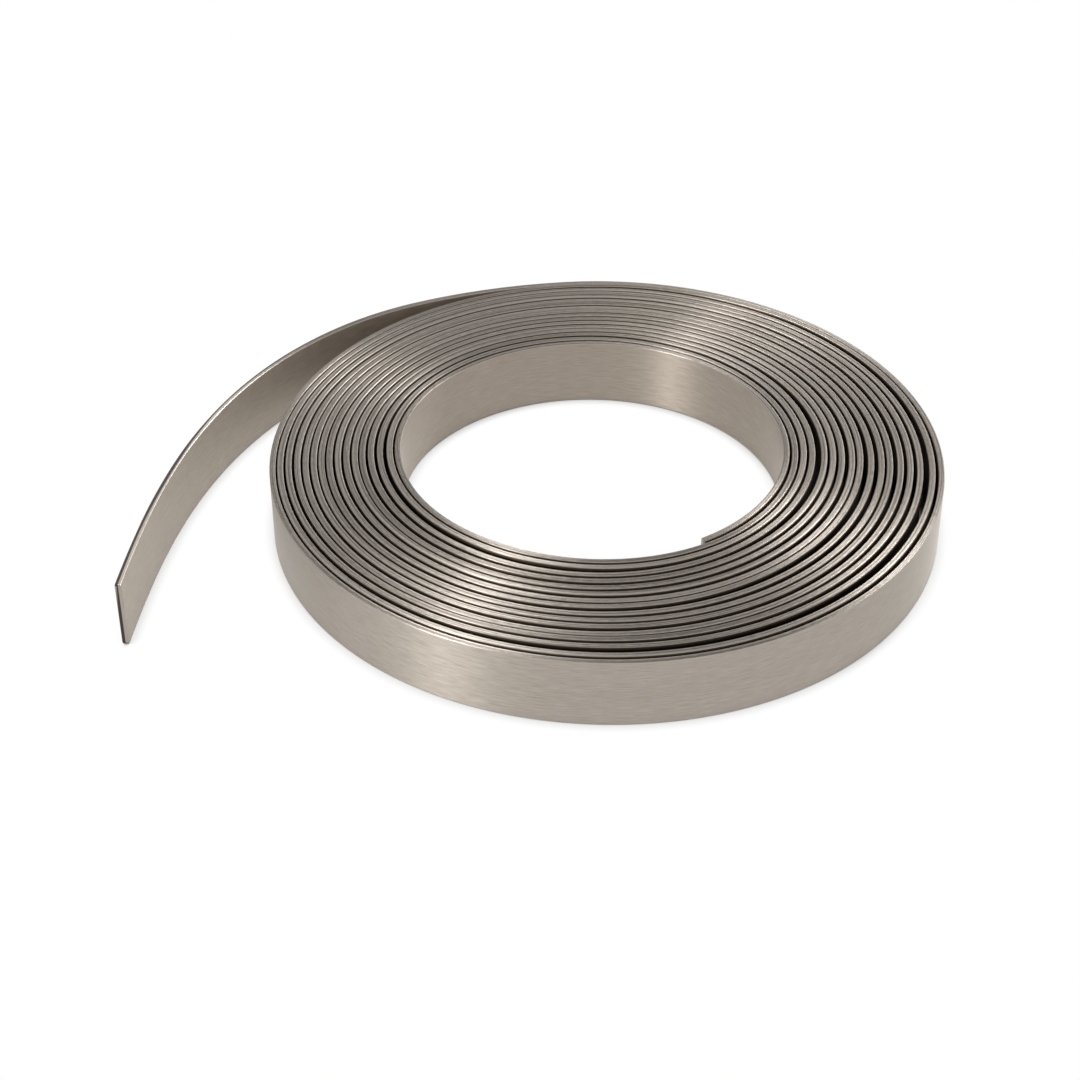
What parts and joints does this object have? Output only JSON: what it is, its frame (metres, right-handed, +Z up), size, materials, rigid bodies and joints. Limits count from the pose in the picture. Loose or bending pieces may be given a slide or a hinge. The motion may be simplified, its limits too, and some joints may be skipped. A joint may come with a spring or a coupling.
{
  "type": "roll of stainless steel strapping",
  "caption": "Flat steel strap wound into an open coil that lies flat, with a round bore and one long free end that curves away from the outside.",
  "frame": {"origin": "on the axis of the bore, in the plane that the roll lies on", "axes": "+Z up along the bore; +X away from the side that the free end leaves on"},
  "size_m": [0.2091, 0.1799, 0.019],
  "materials": {
    "stainless_steel": "fine brushed along the strap"
  },
  "bodies": {
    "root": {"strap": "stainless_steel"}
  },
  "joints": []
}
